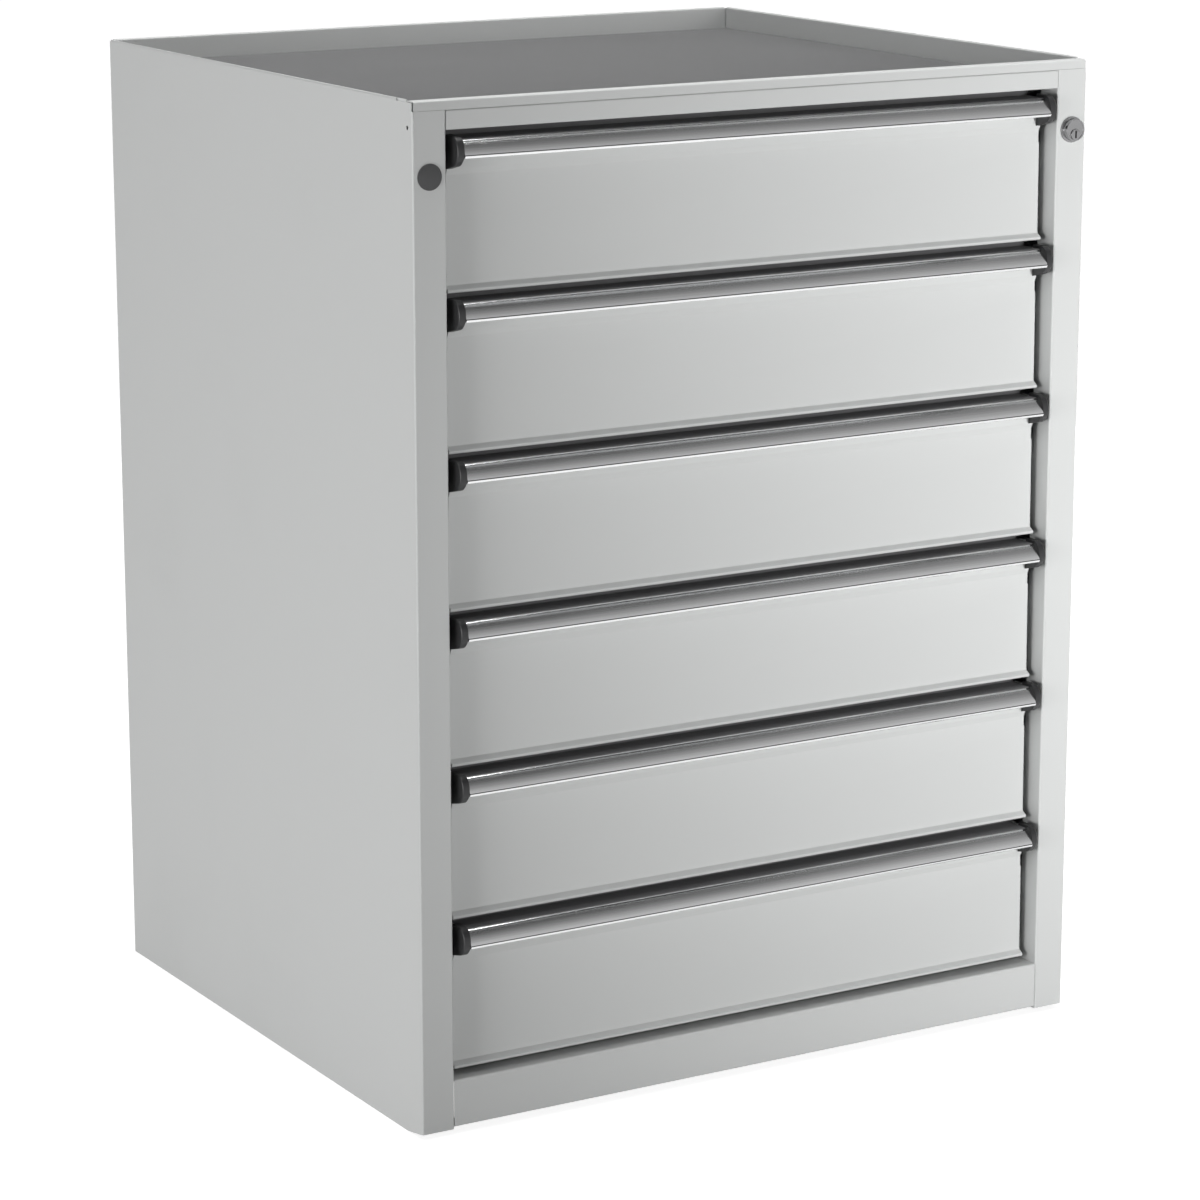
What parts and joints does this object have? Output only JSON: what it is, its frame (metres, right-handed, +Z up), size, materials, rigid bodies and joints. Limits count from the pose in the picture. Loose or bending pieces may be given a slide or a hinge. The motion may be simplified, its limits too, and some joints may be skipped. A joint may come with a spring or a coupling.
{
  "type": "drawer cabinet",
  "caption": "Free-standing sheet-steel cabinet with full-width pull-out drawers on telescopic runners, aluminium handle strips, a sunk rubber-covered top and one central lock.",
  "frame": {"origin": "bottom centre of the whole cabinet's box", "axes": "+Z up, +Y to the back so that the drawers open towards -Y, +X to the right of someone facing the drawers"},
  "size_m": [0.756, 0.6758, 0.99],
  "materials": {
    "carcass_paint": "light grey powder coat, fine and even",
    "drawer_paint": "light grey powder coat, fine and even",
    "mat_rubber": "dark grey fine-ribbed rubber",
    "handle_aluminium": "bright drawn aluminium",
    "label_aluminium": "satin label strip",
    "cap_plastic": "black moulded plastic",
    "plug_plastic": "dark grey moulded plastic",
    "runner_steel": "zinc-plated rolled steel",
    "lock_chrome": "polished chrome plate",
    "lock_steel": "zinc-plated steel"
  },
  "bodies": {
    "cabinet": {"left_side_panel": "carcass_paint", "right_side_panel": "carcass_paint", "left_front_post": "carcass_paint", "right_front_post": "carcass_paint", "back_panel": "carcass_paint", "top_tray": "carcass_paint", "ribbed_mat": "mat_rubber", "top_rail": "carcass_paint", "plinth_rail": "carcass_paint", "floor_panel": "carcass_paint", "runner_columns": "runner_steel", "cabinet_rails": "runner_steel", "lock_body": "lock_chrome", "lock_nut": "lock_steel", "blanking_plug": "plug_plastic"},
    "lock_bar": {"lock_bar": "lock_steel"},
    "lock_barrel": {"lock_barrel": "lock_chrome", "lock_cam": "lock_steel"},
    "drawer_1": {"drawer_1_tray": "drawer_paint", "drawer_1_front": "drawer_paint", "drawer_1_handle": "handle_aluminium", "drawer_1_label_strip": "label_aluminium", "drawer_1_end_caps": "cap_plastic", "drawer_1_rails": "runner_steel"},
    "mid_rails_1": {"drawer_1_mid_rails": "runner_steel"},
    "drawer_2": {"drawer_2_tray": "drawer_paint", "drawer_2_front": "drawer_paint", "drawer_2_handle": "handle_aluminium", "drawer_2_label_strip": "label_aluminium", "drawer_2_end_caps": "cap_plastic", "drawer_2_rails": "runner_steel"},
    "mid_rails_2": {"drawer_2_mid_rails": "runner_steel"},
    "drawer_3": {"drawer_3_tray": "drawer_paint", "drawer_3_front": "drawer_paint", "drawer_3_handle": "handle_aluminium", "drawer_3_label_strip": "label_aluminium", "drawer_3_end_caps": "cap_plastic", "drawer_3_rails": "runner_steel"},
    "mid_rails_3": {"drawer_3_mid_rails": "runner_steel"},
    "drawer_4": {"drawer_4_tray": "drawer_paint", "drawer_4_front": "drawer_paint", "drawer_4_handle": "handle_aluminium", "drawer_4_label_strip": "label_aluminium", "drawer_4_end_caps": "cap_plastic", "drawer_4_rails": "runner_steel"},
    "mid_rails_4": {"drawer_4_mid_rails": "runner_steel"},
    "drawer_5": {"drawer_5_tray": "drawer_paint", "drawer_5_front": "drawer_paint", "drawer_5_handle": "handle_aluminium", "drawer_5_label_strip": "label_aluminium", "drawer_5_end_caps": "cap_plastic", "drawer_5_rails": "runner_steel"},
    "mid_rails_5": {"drawer_5_mid_rails": "runner_steel"},
    "drawer_6": {"drawer_6_tray": "drawer_paint", "drawer_6_front": "drawer_paint", "drawer_6_handle": "handle_aluminium", "drawer_6_label_strip": "label_aluminium", "drawer_6_end_caps": "cap_plastic", "drawer_6_rails": "runner_steel"},
    "mid_rails_6": {"drawer_6_mid_rails": "runner_steel"}
  },
  "joints": [
    {"name": "drawer_1_slide", "type": "slide", "parent": "cabinet", "child": "drawer_1", "axis": [0, -1, 0], "range_m": [0, 0.56]},
    {"name": "mid_rails_1_slide", "type": "slide", "parent": "cabinet", "child": "mid_rails_1", "axis": [0, -1, 0], "range_m": [0, 0.28]},
    {"name": "drawer_2_slide", "type": "slide", "parent": "cabinet", "child": "drawer_2", "axis": [0, -1, 0], "range_m": [0, 0.56]},
    {"name": "mid_rails_2_slide", "type": "slide", "parent": "cabinet", "child": "mid_rails_2", "axis": [0, -1, 0], "range_m": [0, 0.28]},
    {"name": "drawer_3_slide", "type": "slide", "parent": "cabinet", "child": "drawer_3", "axis": [0, -1, 0], "range_m": [0, 0.56]},
    {"name": "mid_rails_3_slide", "type": "slide", "parent": "cabinet", "child": "mid_rails_3", "axis": [0, -1, 0], "range_m": [0, 0.28]},
    {"name": "drawer_4_slide", "type": "slide", "parent": "cabinet", "child": "drawer_4", "axis": [0, -1, 0], "range_m": [0, 0.56]},
    {"name": "mid_rails_4_slide", "type": "slide", "parent": "cabinet", "child": "mid_rails_4", "axis": [0, -1, 0], "range_m": [0, 0.28]},
    {"name": "drawer_5_slide", "type": "slide", "parent": "cabinet", "child": "drawer_5", "axis": [0, -1, 0], "range_m": [0, 0.56]},
    {"name": "mid_rails_5_slide", "type": "slide", "parent": "cabinet", "child": "mid_rails_5", "axis": [0, -1, 0], "range_m": [0, 0.28]},
    {"name": "drawer_6_slide", "type": "slide", "parent": "cabinet", "child": "drawer_6", "axis": [0, -1, 0], "range_m": [0, 0.56]},
    {"name": "mid_rails_6_slide", "type": "slide", "parent": "cabinet", "child": "mid_rails_6", "axis": [0, -1, 0], "range_m": [0, 0.28]},
    {"name": "lock_bar_lift", "type": "slide", "parent": "cabinet", "child": "lock_bar", "axis": [0, 0, 1], "range_m": [0, 0.012]},
    {"name": "lock_turn", "type": "hinge", "parent": "cabinet", "child": "lock_barrel", "pos_m": [0.36075, -0.32805, 0.9158], "axis": [0, 1, 0], "range_deg": [0, 90]}
  ],
  "couplings": [
    {"joint": "mid_rails_1_slide", "follows": "drawer_1_slide", "ratio": 0.5},
    {"joint": "mid_rails_2_slide", "follows": "drawer_2_slide", "ratio": 0.5},
    {"joint": "mid_rails_3_slide", "follows": "drawer_3_slide", "ratio": 0.5},
    {"joint": "mid_rails_4_slide", "follows": "drawer_4_slide", "ratio": 0.5},
    {"joint": "mid_rails_5_slide", "follows": "drawer_5_slide", "ratio": 0.5},
    {"joint": "mid_rails_6_slide", "follows": "drawer_6_slide", "ratio": 0.5},
    {"joint": "lock_turn", "follows": "lock_bar_lift", "rad_per_m": 130.5}
  ]
}
